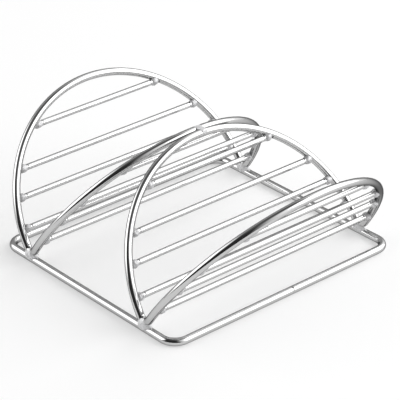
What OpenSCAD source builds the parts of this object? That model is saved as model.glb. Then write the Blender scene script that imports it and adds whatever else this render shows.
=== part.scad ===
// Two-pocket table holder, welded from round steel wire.
// Each pocket is one closed ring of wire, folded along its diameter into a V with
// two arched walls, and crossed by four thinner wires on each wall. Both pockets
// stand on one rounded rectangular base frame that lies on the table.
// The origin is under the middle of the holder, on the table. The pockets run
// along X and open upwards along Z.

/* [Wire] */
// Diameter of the wire of the base frame and of the pocket loops
frame_wire_d = 4.5; // [4:0.1:5.5]
// Diameter of the thinner cross wires
cross_wire_d = 3.5; // [2.5:0.1:3.8]

/* [Pockets] */
// Radius of each arched rim, to the middle of its wire
arch_r = 80; // [76:1:100]
// Distance from the foot of a wall down to the middle of its arch
arch_drop = 2; // [0.5:0.5:4]
// Angle by which each pocket wall leans away from upright
wall_lean = 34.5; // [25:0.5:45]
// Radius of the bend at the foot of each pocket, to the middle of its wire
fold_r = 4.5; // [4:0.1:8]
// Amount that the wire's radius shrinks by where it is bent this tightly
fold_thinning = 0.04; // [0.03:0.01:0.1]

/* [Cross wires] */
// Height of the lowest cross wire up the wall, as a share of the wall's height
level_1 = 0.115; // [0.11:0.005:0.2]
// Height of the second cross wire, as a share of the wall's height
level_2 = 0.335; // [0.28:0.005:0.42]
// Height of the third cross wire, as a share of the wall's height
level_3 = 0.53; // [0.48:0.005:0.64]
// Height of the highest cross wire, as a share of the wall's height
level_4 = 0.795; // [0.72:0.005:0.83]

/* [Base frame] */
// Width of the base frame across the pockets, to the middle of its wire
base_w = 147; // [130:1:180]
// Radius of the base frame's corners, to the middle of its wire
base_corner_r = 9; // [6:0.5:15]

/* [Welds] */
// Clearance between wires that are welded to each other
weld_gap = 0.05; // [0.02:0.01:0.1]
// Radius of the weld bead round each end of a cross wire
wire_bead_r = 2.4; // [2.2:0.1:2.8]
// Radius of the weld bead between each fold and the base frame
fold_bead_r = 2.9; // [2.6:0.1:3.4]
// Radius of the weld bead between the two middle rims
rim_bead_r = 2.7; // [2.5:0.1:3.2]

/* [Hidden] */
$fn = 48;

frame_r = frame_wire_d / 2;
cross_r = cross_wire_d / 2;

// A bead belongs to the loop, and stays half the clearance off what it faces.
bead_gap = weld_gap / 2;

levels = [level_1, level_2, level_3, level_4];

// The folds stand over the end wires of the base frame, so it is as long as a fold.
fold_x = sqrt(arch_r * arch_r - arch_drop * arch_drop);
base_l = 2 * fold_x;

// Height of the middle of the wire at the bottom of a fold, and of the bend's centre.
fold_wire_z = frame_wire_d + weld_gap + frame_r;
fold_centre_z = fold_wire_z + fold_r;

// Angle by which the thinned bend runs into the rims at both of its ends.
fold_overlap = 4;

// The foot of a wall is where its flat plane leaves the bend.
foot_y = fold_r * cos(wall_lean);
foot_z = fold_centre_z - fold_r * sin(wall_lean);

// Distance up the wall from its foot to the highest point of its rim.
arch_h = arch_r - arch_drop;

// The highest points of the two middle rims meet over the middle of the holder.
rim_top_y = foot_y + arch_h * sin(wall_lean);
rim_top_z = foot_z + arch_h * cos(wall_lean);
pocket_y = rim_top_y + frame_r + weld_gap / 2;

// Side of the holder that a pocket stands on, and side that a wall leans to.
back = 1;
front = -1;

// Arc of round wire about Z, from the X axis through the given angle.
module wire_arc(bend_r, wire_r, angle) {
    rotate_extrude(angle = angle)
        translate([bend_r, 0])
            circle(r = wire_r);
}

// Straight round wire along X, centred.
module wire_bar(length, wire_r) {
    rotate([0, 90, 0])
        cylinder(h = length, r = wire_r, center = true);
}

// Weld bead round the end of a cross wire, with its poles on the wire's axis.
module wire_bead() {
    rotate([0, 90, 0])
        sphere(r = wire_bead_r);
}

// Puts a shape drawn with X along the fold and Y up the wall onto one wall of a pocket.
module on_wall(side) {
    translate([0, side * foot_y, foot_z])
        rotate([90 - side * wall_lean, 0, 0])
            children();
}

// Puts a pocket's shape on its own side of the holder.
module in_pocket(pocket) {
    translate([0, pocket * pocket_y, 0])
        children();
}

// Wire of the base frame's two end sides, under the folds.
module base_ends(wire_r) {
    for (x = [-fold_x, fold_x])
        translate([x, 0, frame_r])
            rotate([0, 0, 90])
                wire_bar(base_w - 2 * base_corner_r, wire_r);
}

// Closed rounded rectangle of wire that lies on the table.
module base_frame() {
    color("silver")
        union() {
            base_ends(frame_r);
            for (y = [-base_w / 2, base_w / 2])
                translate([0, y, frame_r])
                    wire_bar(base_l - 2 * base_corner_r, frame_r);
            for (quarter = [0:3])
                base_corner(quarter);
        }
}

// One rounded corner of the base frame, counted round from the back right one.
module base_corner(quarter) {
    x_side = quarter == 0 || quarter == 3 ? 1 : -1;
    y_side = quarter < 2 ? 1 : -1;
    translate([
        x_side * (base_l / 2 - base_corner_r),
        y_side * (base_w / 2 - base_corner_r),
        frame_r,
    ])
        rotate([0, 0, 90 * quarter])
            wire_arc(base_corner_r, frame_r, 90);
}

// Arched rim of one wall, just under a half circle, from one foot to the other.
module rim(wire_r) {
    start = asin(arch_drop / arch_r);
    translate([0, -arch_drop, 0])
        rotate([0, 0, start])
            wire_arc(arch_r, wire_r, 180 - 2 * start);
}

// Bend at one end of a pocket, which joins the rims of its two walls.
module fold_bend(end) {
    sweep = 180 - 2 * wall_lean + 2 * fold_overlap;
    translate([end * fold_x, 0, fold_centre_z])
        rotate([90, 0, 90])
            rotate([0, 0, 180 + wall_lean - fold_overlap])
                wire_arc(fold_r, frame_r - fold_thinning, sweep);
}

// Weld beads between the folds of a pocket and the end wires under them.
module fold_beads() {
    difference() {
        for (end = [-1, 1])
            translate([end * fold_x, 0, frame_wire_d + bead_gap])
                sphere(r = fold_bead_r);
        base_ends(frame_r + bead_gap);
    }
}

// A pocket's half of the weld bead where the two middle rims touch.
module rim_bead_half(pocket) {
    bead_y = pocket * pocket_y;
    cut_y = bead_y + pocket * (rim_bead_r - bead_gap / 2);
    difference() {
        translate([0, -bead_y, rim_top_z])
            sphere(r = rim_bead_r);
        translate([0, -cut_y, rim_top_z])
            cube([4, 2, 4] * rim_bead_r, center = true);
    }
}

// Closed loop of wire that makes the rims of both walls and the folds of one pocket.
module pocket_loop(pocket) {
    color("silver")
        in_pocket(pocket)
            union() {
                for (side = [front, back])
                    on_wall(side)
                        rim(frame_r);
                for (end = [-1, 1])
                    fold_bend(end);
                fold_beads();
                rim_bead_half(pocket);
            }
}

// Thin wire across one wall, shaped at both ends to the rim that it is welded to.
module cross_wire(pocket, side, level) {
    height = levels[level - 1] * arch_h;
    rise = height + arch_drop;
    half_length = sqrt(arch_r * arch_r - rise * rise);
    bead_x = sqrt(pow(arch_r - frame_r, 2) - rise * rise);
    color("gainsboro")
        in_pocket(pocket)
            on_wall(side)
                difference() {
                    translate([0, height, 0])
                        union() {
                            wire_bar(2 * half_length, cross_r);
                            for (x = [-bead_x, bead_x])
                                translate([x, 0, 0])
                                    wire_bead();
                        }
                    rim(frame_r + weld_gap);
                }
}

base_frame();
pocket_loop(back);  // back_pocket_loop
pocket_loop(front);  // front_pocket_loop
cross_wire(back, back, 1);  // back_outer_cross_wire_1
cross_wire(back, back, 2);  // back_outer_cross_wire_2
cross_wire(back, back, 3);  // back_outer_cross_wire_3
cross_wire(back, back, 4);  // back_outer_cross_wire_4
cross_wire(back, front, 1);  // back_inner_cross_wire_1
cross_wire(back, front, 2);  // back_inner_cross_wire_2
cross_wire(back, front, 3);  // back_inner_cross_wire_3
cross_wire(back, front, 4);  // back_inner_cross_wire_4
cross_wire(front, back, 1);  // front_inner_cross_wire_1
cross_wire(front, back, 2);  // front_inner_cross_wire_2
cross_wire(front, back, 3);  // front_inner_cross_wire_3
cross_wire(front, back, 4);  // front_inner_cross_wire_4
cross_wire(front, front, 1);  // front_outer_cross_wire_1
cross_wire(front, front, 2);  // front_outer_cross_wire_2
cross_wire(front, front, 3);  // front_outer_cross_wire_3
cross_wire(front, front, 4);  // front_outer_cross_wire_4
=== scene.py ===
"""Looks of a two-pocket table holder of welded, polished stainless steel wire."""

import logging
import math
from dataclasses import dataclass, field
from enum import Enum
from typing import Optional, Union

import bmesh
import bpy
from mathutils import Matrix, Vector, noise


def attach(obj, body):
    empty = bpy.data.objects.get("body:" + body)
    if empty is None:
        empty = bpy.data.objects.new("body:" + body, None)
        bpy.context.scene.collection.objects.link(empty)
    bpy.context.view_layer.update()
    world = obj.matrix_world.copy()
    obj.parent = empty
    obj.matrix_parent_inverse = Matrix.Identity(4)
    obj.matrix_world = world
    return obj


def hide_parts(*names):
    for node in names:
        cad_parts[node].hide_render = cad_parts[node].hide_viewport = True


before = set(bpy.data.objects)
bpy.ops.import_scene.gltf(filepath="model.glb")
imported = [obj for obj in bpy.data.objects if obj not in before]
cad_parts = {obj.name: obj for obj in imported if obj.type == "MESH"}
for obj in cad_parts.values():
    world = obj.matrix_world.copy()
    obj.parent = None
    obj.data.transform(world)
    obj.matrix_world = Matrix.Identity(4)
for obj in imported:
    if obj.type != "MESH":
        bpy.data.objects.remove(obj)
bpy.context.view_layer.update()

LOG = logging.getLogger("holder")

MM = 0.001
BODY = "root"
WHITE = "#FFFFFF"
X_AXIS = Vector((1, 0, 0))
Z_AXIS = Vector((0, 0, 1))


class Slot(Enum):
    """The record's material slots."""

    FRAME_WIRE = "frame_wire"
    CROSS_WIRE = "cross_wire"


class Pocket(Enum):
    """Side of the holder that a pocket stands on."""

    BACK = 1
    FRONT = -1


class Wall(Enum):
    """Wall of a pocket, outer or inner on the holder."""

    OUTER = 1
    INNER = -1

    def side(self, pocket: Pocket) -> int:
        """Returns 1 where this wall of the pocket leans to +Y, and -1 where it leans to -Y."""
        return self.value * pocket.value


@dataclass(frozen=True)
class HolderSizes:
    """Sizes of the holder in metres, the same as those of the solids."""

    frame_r: float = 2.25 * MM
    cross_r: float = 1.75 * MM
    arch_r: float = 80 * MM
    arch_drop: float = 2 * MM
    wall_lean: float = math.radians(34.5)
    fold_r: float = 4.5 * MM
    base_w: float = 147 * MM
    base_corner_r: float = 9 * MM
    weld_gap: float = 0.05 * MM
    levels: tuple[float, ...] = (0.115, 0.335, 0.53, 0.795)

    @property
    def fold_x(self) -> float:
        """Distance of a fold from the middle of the holder."""
        return math.sqrt(self.arch_r**2 - self.arch_drop**2)

    @property
    def fold_centre_z(self) -> float:
        """Height of the centre of a fold's bend."""
        return 3 * self.frame_r + self.weld_gap + self.fold_r

    @property
    def foot_y(self) -> float:
        """Distance of a wall's foot from the middle of its pocket."""
        return self.fold_r * math.cos(self.wall_lean)

    @property
    def foot_z(self) -> float:
        """Height of a wall's foot."""
        return self.fold_centre_z - self.fold_r * math.sin(self.wall_lean)

    @property
    def arch_h(self) -> float:
        """Distance up a wall from its foot to the highest point of its rim."""
        return self.arch_r - self.arch_drop

    @property
    def rim_top_y(self) -> float:
        """Distance of a rim's highest point from the middle of its pocket."""
        return self.foot_y + self.arch_h * math.sin(self.wall_lean)

    @property
    def rim_top_z(self) -> float:
        """Height of a rim's highest point."""
        return self.foot_z + self.arch_h * math.cos(self.wall_lean)

    @property
    def pocket_y(self) -> float:
        """Distance of the middle of a pocket from the middle of the holder."""
        return self.rim_top_y + self.frame_r + self.weld_gap / 2

    def wall_frame(self, pocket: Pocket, wall: Wall) -> Matrix:
        """Places a shape drawn with X along the fold and Y up the wall.

        Args:
            pocket: The pocket that the wall belongs to.
            wall: The wall.

        Returns:
            The matrix from the wall's own plane to the holder.
        """
        side = wall.side(pocket)
        foot = Vector((0, pocket.value * self.pocket_y + side * self.foot_y, self.foot_z))
        return Matrix.Translation(foot) @ Matrix.Rotation(math.pi / 2 - side * self.wall_lean, 4, "X")


def linear(hex_colour: str) -> tuple[float, float, float, float]:
    """Turns an sRGB hex colour into a linear one.

    Args:
        hex_colour: Colour such as "#C8C9CB".

    Returns:
        Linear red, green, blue and an alpha of 1.
    """
    channels = [int(hex_colour[i:i + 2], 16) / 255 for i in (1, 3, 5)]
    values = [c / 12.92 if c <= 0.04045 else ((c + 0.055) / 1.055) ** 2.4 for c in channels]
    return (values[0], values[1], values[2], 1.0)


def add_node(
    tree: bpy.types.NodeTree,
    kind: str,
    settings: Optional[dict[str, object]] = None,
    inputs: Optional[dict[Union[str, int], object]] = None,
) -> bpy.types.Node:
    """Adds a node with its settings, values and links.

    Args:
        tree: Node tree that takes the node.
        kind: Type of the node.
        settings: Properties of the node, by name.
        inputs: Values or output sockets for its inputs, by name or number.

    Returns:
        The new node.
    """
    node = tree.nodes.new(kind)
    for name, value in (settings or {}).items():
        setattr(node, name, value)
    for name, value in (inputs or {}).items():
        if isinstance(value, bpy.types.NodeSocket):
            tree.links.new(value, node.inputs[name])
        else:
            node.inputs[name].default_value = value
    return node


@dataclass(frozen=True)
class PolishedSteel:
    """Stainless steel wire, drawn, bent and electropolished.

    The eye sees a mirror that is a little wavy, because drawing and bending leave the
    wire very slightly uneven, with a faint haze where the polish is thinner.
    """

    name: str
    colour: str = "#C7C7C7"
    # The metal's own tint at grazing angles, made much darker to paint shade along the wires' edges.
    edge_tint_and_shade: str = "#676767"
    roughness: float = 0.04
    haze: float = 0.04
    haze_mm: float = 21.0
    wave_mm: float = 7.0
    wave_height_mm: float = 0.02
    wave_softness: float = 0.4

    def build(self) -> bpy.types.Material:
        """Builds the finish.

        Returns:
            The material.
        """
        material = bpy.data.materials.new(self.name)
        material.use_nodes = True
        tree = material.node_tree
        shader = tree.nodes["Principled BSDF"]
        place = add_node(tree, "ShaderNodeTexCoord").outputs["Object"]
        wave = add_node(tree, "ShaderNodeTexNoise", inputs={
            "Vector": place, "Scale": 1 / (self.wave_mm * MM), "Detail": 2.0, "Roughness": self.wave_softness,
        })
        bump = add_node(tree, "ShaderNodeBump", inputs={
            "Height": wave.outputs["Fac"], "Strength": 1.0, "Distance": self.wave_height_mm * MM,
        })
        polish = add_node(tree, "ShaderNodeTexNoise", inputs={
            "Vector": place, "Scale": 1 / (self.haze_mm * MM), "Detail": 3.0,
        })
        rough = add_node(tree, "ShaderNodeMapRange", inputs={
            "Value": polish.outputs["Fac"], "From Min": 0.35, "From Max": 0.7,
            "To Min": self.roughness, "To Max": self.roughness + self.haze,
        })
        shader.inputs["Base Color"].default_value = linear(self.colour)
        shader.inputs["Metallic"].default_value = 1.0
        # Dark edge tint: partly the metal's own, partly painted shade along the wires' edges.
        shader.inputs["Specular Tint"].default_value = linear(self.edge_tint_and_shade)
        tree.links.new(rough.outputs["Result"], shader.inputs["Roughness"])
        tree.links.new(bump.outputs["Normal"], shader.inputs["Normal"])
        return material


@dataclass(frozen=True)
class WeldSteel:
    """Weld metal that has run between the wires, left lumpy and etched matt.

    The eye sees a pale, dull spot beside the bright wire, a little darker in its pits, where shade is painted
    into its colour.
    The etched skin scatters the light, so only part of it still shines like metal.
    """

    name: str
    colour: str = "#E1E1E2"
    # Painted shade: the colour in the hollows of the lumps.
    pit_shade_colour: str = "#8F8F90"
    pit_edge: float = 0.42
    pit_bottom: float = 0.24
    shine: float = 0.45
    roughness: float = 0.5
    lump_mm: float = 1.1
    lump_height_mm: float = 0.2

    def build(self) -> bpy.types.Material:
        """Builds the finish.

        Returns:
            The material.
        """
        material = bpy.data.materials.new(self.name)
        material.use_nodes = True
        tree = material.node_tree
        shader = tree.nodes["Principled BSDF"]
        place = add_node(tree, "ShaderNodeTexCoord").outputs["Object"]
        lumps = add_node(tree, "ShaderNodeTexNoise", inputs={
            "Vector": place, "Scale": 1 / (self.lump_mm * MM), "Detail": 2.0,
        })
        bump = add_node(tree, "ShaderNodeBump", inputs={
            "Height": lumps.outputs["Fac"], "Strength": 1.0, "Distance": self.lump_height_mm * MM,
        })
        # Painted shade: darker colour where the lumps' bump is lowest.
        pits = add_node(tree, "ShaderNodeMapRange", {"interpolation_type": "SMOOTHSTEP"}, {
            "Value": lumps.outputs["Fac"], "From Min": self.pit_edge, "From Max": self.pit_bottom,
        })
        colour = add_node(tree, "ShaderNodeMix", {"data_type": "RGBA"}, {
            0: pits.outputs["Result"], 6: linear(self.colour), 7: linear(self.pit_shade_colour),
        })
        tree.links.new(colour.outputs[2], shader.inputs["Base Color"])
        shader.inputs["Metallic"].default_value = self.shine
        shader.inputs["Roughness"].default_value = self.roughness
        tree.links.new(bump.outputs["Normal"], shader.inputs["Normal"])
        return material


@dataclass(frozen=True)
class StudioPaper:
    """Matt white background paper that the holder stands on.

    The eye sees an even white with the holder's soft shadow, also in the polished steel.
    """

    name: str = "matt white background paper"
    colour: str = "#F8F8F8"
    roughness: float = 0.9
    grain_mm: float = 1.5
    grain_height_mm: float = 0.05
    grain_strength: float = 0.1
    whitening: float = 0.45

    def build(self) -> bpy.types.Material:
        """Builds the finish.

        Returns:
            The material.
        """
        material = bpy.data.materials.new(self.name)
        material.use_nodes = True
        tree = material.node_tree
        shader = tree.nodes["Principled BSDF"]
        place = add_node(tree, "ShaderNodeTexCoord").outputs["Object"]
        grain = add_node(tree, "ShaderNodeTexNoise", inputs={
            "Vector": place, "Scale": 1 / (self.grain_mm * MM),
        })
        bump = add_node(tree, "ShaderNodeBump", inputs={
            "Height": grain.outputs["Fac"],
            "Strength": self.grain_strength,
            "Distance": self.grain_height_mm * MM,
        })
        shader.inputs["Base Color"].default_value = linear(self.colour)
        shader.inputs["Roughness"].default_value = self.roughness
        shader.inputs["Specular IOR Level"].default_value = 0.0
        tree.links.new(bump.outputs["Normal"], shader.inputs["Normal"])
        self.whiten(tree, shader)
        return material

    def whiten(self, tree: bpy.types.NodeTree, shader: bpy.types.Node) -> None:
        """Lifts the paper towards white where it is seen, without more light on the holder.

        Args:
            tree: The paper's node tree.
            shader: The paper's own shader.
        """
        path = add_node(tree, "ShaderNodeLightPath")
        seen = path.outputs["Is Camera Ray"]
        for name in ("Is Glossy Ray", "Is Transmission Ray"):
            either = add_node(tree, "ShaderNodeMath", {"operation": "MAXIMUM"}, {
                0: seen, 1: path.outputs[name],
            })
            seen = either.outputs["Value"]
        share = add_node(tree, "ShaderNodeMath", {"operation": "MULTIPLY"}, {0: seen, 1: self.whitening})
        white = add_node(tree, "ShaderNodeEmission", inputs={"Color": linear(WHITE), "Strength": 1.0})
        mix = add_node(tree, "ShaderNodeMixShader", inputs={
            0: share.outputs["Value"], 1: shader.outputs["BSDF"], 2: white.outputs["Emission"],
        })
        tree.links.new(mix.outputs["Shader"], tree.nodes["Material Output"].inputs["Surface"])


class WireRun:
    """Round wire that is drawn straight and bent, with its end ring kept as the tip."""

    SEGMENTS = 48
    JOIN_DISTANCE = 0.2 * MM

    def __init__(self, wire_r: float, start: Matrix) -> None:
        """Puts the first ring of the wire.

        Args:
            wire_r: Radius of the wire.
            start: Place of the ring, with the wire's direction along its Z axis.
        """
        self.wire_r = wire_r
        self.mesh = bmesh.new()
        ring = bmesh.ops.create_circle(
            self.mesh, cap_ends=False, radius=wire_r, segments=self.SEGMENTS, matrix=start,
        )
        self.first: list[bmesh.types.BMVert] = list(ring["verts"])
        self.tip: list[bmesh.types.BMElem] = list(ring["verts"]) + list(self.mesh.edges)

    def tip_verts(self) -> list[bmesh.types.BMVert]:
        """Returns the vertices of the end ring."""
        return [e for e in self.tip if isinstance(e, bmesh.types.BMVert)]

    def bend(self, centre: Vector, axis: Vector, angle: float, steps: int) -> None:
        """Carries the wire on round a bend.

        Args:
            centre: Centre of the bend.
            axis: Axis of the bend.
            angle: Angle of the bend.
            steps: Number of rings in it.
        """
        spun = bmesh.ops.spin(
            self.mesh, geom=self.tip, cent=centre, axis=axis, angle=angle, steps=steps,
            use_merge=False, use_duplicate=False,
        )
        self.tip = list(spun["geom_last"])

    def draw(self, along: Vector, steps: int = 1) -> None:
        """Carries the wire straight on.

        Args:
            along: Length and direction of the straight part.
            steps: Number of rings in it.
        """
        spun = bmesh.ops.spin(
            self.mesh, geom=self.tip, axis=Z_AXIS, dvec=along / steps, angle=0.0, steps=steps,
            use_merge=False, use_duplicate=False,
        )
        self.tip = list(spun["geom_last"])

    def turn_tip(self, centre: Vector, axis: Vector, angle: float) -> None:
        """Turns the end ring where it is, so that the next part leaves squarely.

        Args:
            centre: Middle of the wire at the tip.
            axis: Axis of the turn.
            angle: Angle of the turn.
        """
        turn = Matrix.Rotation(angle, 3, axis)
        bmesh.ops.rotate(self.mesh, cent=centre, matrix=turn, verts=self.tip_verts())

    def weld_seam(self, along: Vector, depth: float) -> None:
        """Carries the wire on over the shallow groove of a butt weld.

        Args:
            along: Length and direction of the groove.
            depth: Depth of the groove.
        """
        sixth = along / 6
        factor = 1 - depth / self.wire_r
        self.draw(sixth)
        for scale in (factor, 1.0, 1 / factor):
            self.draw(sixth)
            ring = self.tip_verts()
            middle = sum((v.co for v in ring), Vector()) / len(ring)
            bmesh.ops.scale(
                self.mesh, vec=Vector((scale, scale, scale)), space=Matrix.Translation(-middle), verts=ring,
            )
        self.draw(2 * sixth)

    def join_ends(self) -> None:
        """Joins the tip to the first ring, for a closed wire."""
        ends = self.first + self.tip_verts()
        bmesh.ops.remove_doubles(self.mesh, verts=ends, dist=self.JOIN_DISTANCE)


def finish_piece(
    name: str,
    mesh: bmesh.types.BMesh,
    material: bpy.types.Material,
) -> bpy.types.Object:
    """Makes a smooth-shaded object of a mesh and lets it ride on the holder.

    Args:
        name: Name of the piece.
        mesh: Its mesh, in the holder's place.
        material: Its finish.

    Returns:
        The new object.
    """
    mesh.normal_update()
    bmesh.ops.recalc_face_normals(mesh, faces=mesh.faces)
    for face in mesh.faces:
        face.smooth = True
    data = bpy.data.meshes.new(name)
    mesh.to_mesh(data)
    mesh.free()
    data.materials.append(material)
    piece = bpy.data.objects.new(name, data)
    bpy.context.scene.collection.objects.link(piece)
    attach(piece, BODY)
    return piece


@dataclass
class BaseFrame:
    """Closed rounded rectangle of frame wire that lies on the table."""

    sizes: HolderSizes
    finish: bpy.types.Material
    seam_x: float = 4 * MM
    seam_length: float = 1.5 * MM
    seam_depth: float = 0.22 * MM
    corner_steps: int = 24
    side_steps: int = 20

    def build(self) -> bpy.types.Object:
        """Draws and bends the wire, one end side first.

        Returns:
            The base frame, which replaces its solid.
        """
        s = self.sizes
        half_x = s.fold_x - s.base_corner_r
        half_y = s.base_w / 2 - s.base_corner_r
        start = Matrix.Translation((s.fold_x, -half_y, s.frame_r)) @ Matrix.Rotation(-math.pi / 2, 4, "X")
        wire = WireRun(s.frame_r, start)
        for x_side, y_side, along in (
            (1, 1, Vector((0, 2 * half_y, 0))),
            (-1, 1, Vector((-2 * half_x, 0, 0))),
            (-1, -1, Vector((0, -2 * half_y, 0))),
        ):
            wire.draw(along, self.side_steps)
            corner = Vector((x_side * half_x, y_side * half_y, s.frame_r))
            wire.bend(corner, Z_AXIS, math.pi / 2, self.corner_steps)
        wire.draw((half_x + self.seam_x) * X_AXIS, self.side_steps)
        wire.weld_seam(self.seam_length * X_AXIS, self.seam_depth)
        wire.draw((half_x - self.seam_x - self.seam_length) * X_AXIS, self.side_steps)
        wire.bend(Vector((half_x, -half_y, s.frame_r)), Z_AXIS, math.pi / 2, self.corner_steps)
        wire.join_ends()
        piece = finish_piece("base_frame_wire", wire.mesh, self.finish)
        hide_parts("base_frame")
        return piece


@dataclass
class PocketLoop:
    """Closed ring of frame wire, folded along its diameter into a V."""

    sizes: HolderSizes
    pocket: Pocket
    finish: bpy.types.Material
    arch_steps: int = 96
    fold_steps: int = 24

    def build(self) -> bpy.types.Object:
        """Bends the outer rim, a fold, the inner rim and the other fold.

        Returns:
            The loop, which replaces its solid.
        """
        s = self.sizes
        start_angle = math.asin(s.arch_drop / s.arch_r)
        arch_angle = math.pi - 2 * start_angle
        fold_angle = math.pi - 2 * s.wall_lean
        middle_y = self.pocket.value * s.pocket_y
        outer = s.wall_frame(self.pocket, Wall.OUTER)
        inner = s.wall_frame(self.pocket, Wall.INNER)
        foot = Matrix.Translation((s.fold_x, 0, 0)) @ Matrix.Rotation(start_angle, 4, "Z")
        wire = WireRun(s.frame_r, outer @ foot @ Matrix.Rotation(-math.pi / 2, 4, "X"))
        for wall_frame, turn in ((outer, 1), (inner, -1)):
            fold_x = -turn * s.fold_x
            centre = wall_frame @ Vector((0, -s.arch_drop, 0))
            normal = wall_frame.to_3x3() @ Z_AXIS
            wire.bend(centre, normal, turn * arch_angle, self.arch_steps)
            wire.turn_tip(wall_frame @ Vector((fold_x, 0, 0)), normal, turn * start_angle)
            fold = Vector((fold_x, middle_y, s.fold_centre_z))
            wire.bend(fold, X_AXIS, -turn * self.pocket.value * fold_angle, self.fold_steps)
            if wall_frame is outer:
                inner_foot = inner @ Vector((fold_x, 0, 0))
                wire.turn_tip(inner_foot, inner.to_3x3() @ Z_AXIS, -start_angle)
        wire.join_ends()
        name = f"{self.pocket.name.lower()}_pocket_loop"
        piece = finish_piece(f"{name}_wire", wire.mesh, self.finish)
        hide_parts(name)
        return piece


@dataclass
class CrossWire:
    """Thin wire across one wall, thicker where it is welded to the rim.

    The arc has eaten a small groove, the undercut, round the wire beside each weld.
    """

    sizes: HolderSizes
    pocket: Pocket
    wall: Wall
    level: int
    finish: bpy.types.Material
    bead_r: float = 1.95 * MM
    bead_steps: int = 8
    undercut_place: float = 4.0 * MM
    undercut_half: float = 0.3 * MM
    undercut_depth: float = 0.4 * MM
    segments: int = 40
    axis_merge: float = 0.001 * MM

    def build(self) -> bpy.types.Object:
        """Spins the wire's outline, from one flat end to the other.

        Returns:
            The wire, which replaces its solid.
        """
        s = self.sizes
        height = s.levels[self.level - 1] * s.arch_h
        rise = height + s.arch_drop
        half_length = math.sqrt(s.arch_r**2 - rise**2)
        bead_x = math.sqrt((s.arch_r - s.frame_r) ** 2 - rise**2)
        mesh = bmesh.new()
        outline = [(half_length, 0.0), (half_length, s.cross_r)]
        reach = math.sqrt(self.bead_r**2 - s.cross_r**2)
        for step in range(self.bead_steps + 1):
            x = reach * math.cos(math.pi * step / self.bead_steps)
            if bead_x + x < half_length:
                outline.append((bead_x + x, math.sqrt(self.bead_r**2 - x**2)))
        undercut_x = bead_x - self.undercut_place
        for step, depth in ((2, 0.0), (1, 0.0), (0, self.undercut_depth), (-1, 0.0), (-2, 0.0)):
            outline.append((undercut_x + step * self.undercut_half, s.cross_r - depth))
        outline.append((bead_x / 2, s.cross_r))
        points = outline + [(0.0, s.cross_r)] + [(-x, r) for x, r in reversed(outline)]
        chain = [mesh.verts.new((x, 0, r)) for x, r in points]
        edges = [mesh.edges.new(pair) for pair in zip(chain, chain[1:])]
        bmesh.ops.spin(
            mesh, geom=chain + edges, axis=X_AXIS, angle=2 * math.pi, steps=self.segments,
            use_merge=True, use_duplicate=False,
        )
        bmesh.ops.remove_doubles(mesh, verts=mesh.verts, dist=self.axis_merge)
        mesh.transform(s.wall_frame(self.pocket, self.wall) @ Matrix.Translation((0, height, 0)))
        name = f"{self.pocket.name.lower()}_{self.wall.name.lower()}_cross_wire_{self.level}"
        piece = finish_piece(f"{name}_steel", mesh, self.finish)
        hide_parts(name)
        return piece


@dataclass
class Welds:
    """Weld metal under the folds, across the two middle rims and at the ends of the cross wires."""

    sizes: HolderSizes
    finish: bpy.types.Material
    wire_finish: bpy.types.Material
    fold_reach: tuple[float, float, float] = (3.1 * MM, 5.0 * MM, 4.2 * MM)
    fold_weld_z: float = 4.9 * MM
    wire_reach: tuple[float, float, float] = (3.1 * MM, 2.5 * MM, 2.5 * MM)
    wire_weld_shift: float = 0.9 * MM
    rim_block: tuple[float, float, float] = (4.0 * MM, 7.4 * MM, 3.0 * MM)
    rim_round: float = 0.6 * MM
    rim_round_steps: int = 5
    rim_weld_shift: tuple[float, float, float] = (3.1 * MM, -0.8 * MM, 1.0 * MM)
    lump: float = 0.3 * MM
    lump_size: float = 1.5 * MM
    nugget_detail: int = 4

    def add_nugget(
        self,
        mesh: bmesh.types.BMesh,
        place: Matrix,
        reach: tuple[float, float, float],
    ) -> None:
        """Adds one lumpy nugget of weld metal.

        Args:
            mesh: Mesh that takes the nugget.
            place: Place of its middle.
            reach: Its reach along each of the place's axes.
        """
        middle = place.to_translation()
        ball = bmesh.ops.create_icosphere(
            mesh, subdivisions=self.nugget_detail, radius=1.0, matrix=place @ Matrix.Diagonal((*reach, 1)),
        )
        for vert in ball["verts"]:
            out = (vert.co - middle).normalized()
            vert.co += self.lump * noise.noise(vert.co / self.lump_size) * out

    def build_fold_welds(self, pocket: Pocket) -> bpy.types.Object:
        """Builds the two welds under a pocket's folds.

        Args:
            pocket: The pocket.

        Returns:
            The welds, as one piece.
        """
        s = self.sizes
        mesh = bmesh.new()
        for end in (-1, 1):
            place = Matrix.Translation((end * s.fold_x, pocket.value * s.pocket_y, self.fold_weld_z))
            self.add_nugget(mesh, place, self.fold_reach)
        return finish_piece(f"{pocket.name.lower()}_fold_welds", mesh, self.finish)

    def build_wire_welds(self, pocket: Pocket, wall: Wall) -> bpy.types.Object:
        """Builds the welds at the ends of a wall's cross wires.

        Args:
            pocket: The pocket.
            wall: The wall.

        Returns:
            The welds, as one piece.
        """
        s = self.sizes
        mesh = bmesh.new()
        for level in s.levels:
            height = level * s.arch_h
            rim_x = math.sqrt((s.arch_r - s.frame_r) ** 2 - (height + s.arch_drop) ** 2)
            weld_x = rim_x - self.wire_weld_shift
            for end in (-1, 1):
                place = s.wall_frame(pocket, wall) @ Matrix.Translation((end * weld_x, height, 0))
                self.add_nugget(mesh, place, self.wire_reach)
        name = f"{pocket.name.lower()}_{wall.name.lower()}_wire_welds"
        return finish_piece(name, mesh, self.wire_finish)

    def build_rim_weld(self) -> bpy.types.Object:
        """Builds the weld across the two middle rims.

        Returns:
            The weld.
        """
        s = self.sizes
        mesh = bmesh.new()
        place = Matrix.Translation((0, 0, s.rim_top_z)) @ Matrix.Translation(self.rim_weld_shift)
        bmesh.ops.create_cube(mesh, size=1.0, matrix=place @ Matrix.Diagonal((*self.rim_block, 1)))
        bmesh.ops.bevel(
            mesh, geom=list(mesh.edges), offset=self.rim_round, segments=self.rim_round_steps,
            profile=0.5, affect="EDGES", material=-1,
        )
        return finish_piece("rim_weld", mesh, self.finish)


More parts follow.
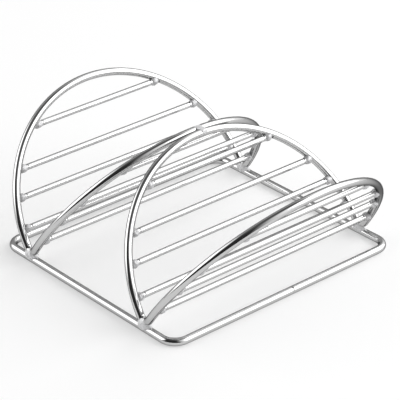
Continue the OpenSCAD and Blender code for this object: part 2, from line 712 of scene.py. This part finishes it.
@dataclass(frozen=True)
class Softbox:
    """Rectangular studio lamp that points at the holder."""

    name: str
    towards: tuple[float, float, float]
    distance: float
    width: float
    height: float
    radiance: float

    def build(self) -> bpy.types.Object:
        """Builds the lamp and points it at the holder.

        Returns:
            The lamp.
        """
        lamp = bpy.data.lights.new(self.name, "AREA")
        lamp.shape = "RECTANGLE"
        lamp.size = self.width
        lamp.size_y = self.height
        lamp.energy = self.radiance * math.pi * self.width * self.height
        piece = bpy.data.objects.new(self.name, lamp)
        direction = Vector(self.towards).normalized()
        turn = direction.to_track_quat("Z", "Y").to_matrix().to_4x4()
        piece.matrix_world = Matrix.Translation(direction * self.distance) @ turn
        bpy.context.scene.collection.objects.link(piece)
        return piece


@dataclass(frozen=True)
class Glow:
    """Part of the room that shines softly on the holder, brightest in its middle."""

    towards: tuple[float, float, float]
    edge: float
    core: float
    radiance: float

    def build(self, tree: bpy.types.NodeTree, direction: bpy.types.NodeSocket) -> bpy.types.NodeSocket:
        """Adds the glow to the world.

        Args:
            tree: The world's node tree.
            direction: Direction into the room.

        Returns:
            The glow's radiance in that direction.
        """
        facing = add_node(tree, "ShaderNodeVectorMath", {"operation": "DOT_PRODUCT"}, {"Vector": direction})
        facing.inputs[1].default_value = Vector(self.towards).normalized()
        level = add_node(tree, "ShaderNodeMapRange", {"interpolation_type": "SMOOTHSTEP"}, {
            "Value": facing.outputs["Value"], "From Min": self.edge, "From Max": self.core,
            "To Min": 0.0, "To Max": self.radiance,
        })
        return level.outputs["Result"]


@dataclass
class Studio:
    """Camera, paper floor and soft lamps."""

    camera_place: tuple[float, float, float] = (-0.66332, -0.78139, 0.58294)
    camera_right: tuple[float, float, float] = (0.7568, -0.65353, -0.01238)
    camera_up: tuple[float, float, float] = (0.31836, 0.35199, 0.8802)
    lens: float = 186.19
    sensor_width: float = 36.0
    nearest: float = 0.01
    floor_size: float = 8.0
    paper: StudioPaper = StudioPaper()
    dark: float = 0.035
    ceiling: float = 0.12
    ceiling_edge: float = 0.82
    ceiling_core: float = 0.95
    glows: list[Glow] = field(default_factory=lambda: [
        Glow((0.654, 0.757, 0.0), -0.2, 0.5, 0.45),
        Glow((0.796, -0.475, 0.375), 0.15, 0.85, 1.6),
        Glow((-0.582, 0.665, 0.469), 0.8, 0.96, 1.7),
    ])
    lamps: list[Softbox] = field(default_factory=lambda: [
        Softbox("softbox on the right", (0.68, -0.49, 0.545), 1.5, 2.0, 1.2, 2.2),
        Softbox("softbox on the left", (-0.582, 0.665, 0.469), 1.5, 1.7, 1.0, 0.8),
    ])

    def build_camera(self) -> bpy.types.Object:
        """Builds the camera at the photograph's viewing angle.

        Returns:
            The camera.
        """
        right = Vector(self.camera_right).normalized()
        up = Vector(self.camera_up).normalized()
        back = right.cross(up).normalized()
        lens = bpy.data.cameras.new("camera")
        lens.lens = self.lens
        lens.sensor_width = self.sensor_width
        lens.clip_start = self.nearest
        camera = bpy.data.objects.new("camera", lens)
        turn = Matrix((right, up, back)).transposed().to_4x4()
        camera.matrix_world = Matrix.Translation(self.camera_place) @ turn
        bpy.context.scene.collection.objects.link(camera)
        bpy.context.scene.camera = camera
        return camera

    def build_floor(self) -> bpy.types.Object:
        """Lays the paper floor.

        Returns:
            The floor, which is part of the stage and not of the holder.
        """
        mesh = bmesh.new()
        bmesh.ops.create_grid(mesh, x_segments=1, y_segments=1, size=self.floor_size / 2)
        data = bpy.data.meshes.new("paper_floor")
        mesh.to_mesh(data)
        mesh.free()
        data.materials.append(self.paper.build())
        floor = bpy.data.objects.new("paper_floor", data)
        bpy.context.scene.collection.objects.link(floor)
        return floor

    def build_world(self) -> None:
        """Gives the room its glows, a dim ceiling and a dark side before the holder."""
        world = bpy.data.worlds.new("soft studio room")
        bpy.context.scene.world = world
        world.use_nodes = True
        tree = world.node_tree
        direction = add_node(tree, "ShaderNodeTexCoord").outputs["Generated"]
        height = add_node(tree, "ShaderNodeSeparateXYZ", inputs={"Vector": direction})
        walls: Union[float, bpy.types.NodeSocket] = self.dark
        for glow in self.glows:
            brighter = add_node(tree, "ShaderNodeMath", {"operation": "MAXIMUM"}, {
                0: glow.build(tree, direction), 1: walls,
            })
            walls = brighter.outputs["Value"]
        level = add_node(tree, "ShaderNodeMapRange", {"interpolation_type": "SMOOTHSTEP"}, {
            "Value": height.outputs["Z"], "From Min": self.ceiling_edge, "From Max": self.ceiling_core,
            "To Min": walls, "To Max": self.ceiling,
        })
        background = tree.nodes["Background"]
        background.inputs["Color"].default_value = linear(WHITE)
        tree.links.new(level.outputs["Result"], background.inputs["Strength"])

    def build(self) -> None:
        """Builds the whole studio."""
        self.build_camera()
        self.build_floor()
        self.build_world()
        for lamp in self.lamps:
            lamp.build()
        bpy.context.scene.view_settings.view_transform = "Standard"


def report(piece: bpy.types.Object) -> None:
    """Logs a piece's name and its number of faces."""
    LOG.info("%s: %d faces", piece.name, len(piece.data.polygons))


def main() -> None:
    """Builds the holder and its studio."""
    logging.basicConfig(level=logging.INFO, format="%(message)s")
    sizes = HolderSizes()
    frame_steel = PolishedSteel("electropolished stainless frame wire").build()
    cross_steel = PolishedSteel("electropolished stainless cross wire", colour="#CDCDCD").build()
    weld_steel = WeldSteel("etched stainless weld metal").build()
    # The cross wire welds get a darker painted shade in their pits.
    wire_weld_steel = WeldSteel(
        "etched stainless cross wire weld", colour="#BEBEBF", pit_shade_colour="#6F6F70",
    ).build()
    Studio().build()
    welds = Welds(sizes, weld_steel, wire_weld_steel)
    report(welds.build_rim_weld())
    report(BaseFrame(sizes, frame_steel).build())
    for pocket in Pocket:
        report(PocketLoop(sizes, pocket, frame_steel).build())
        report(welds.build_fold_welds(pocket))
        for wall in Wall:
            report(welds.build_wire_welds(pocket, wall))
            for level in range(1, len(sizes.levels) + 1):
                report(CrossWire(sizes, pocket, wall, level, cross_steel).build())


if __name__ == "__main__":
    main()
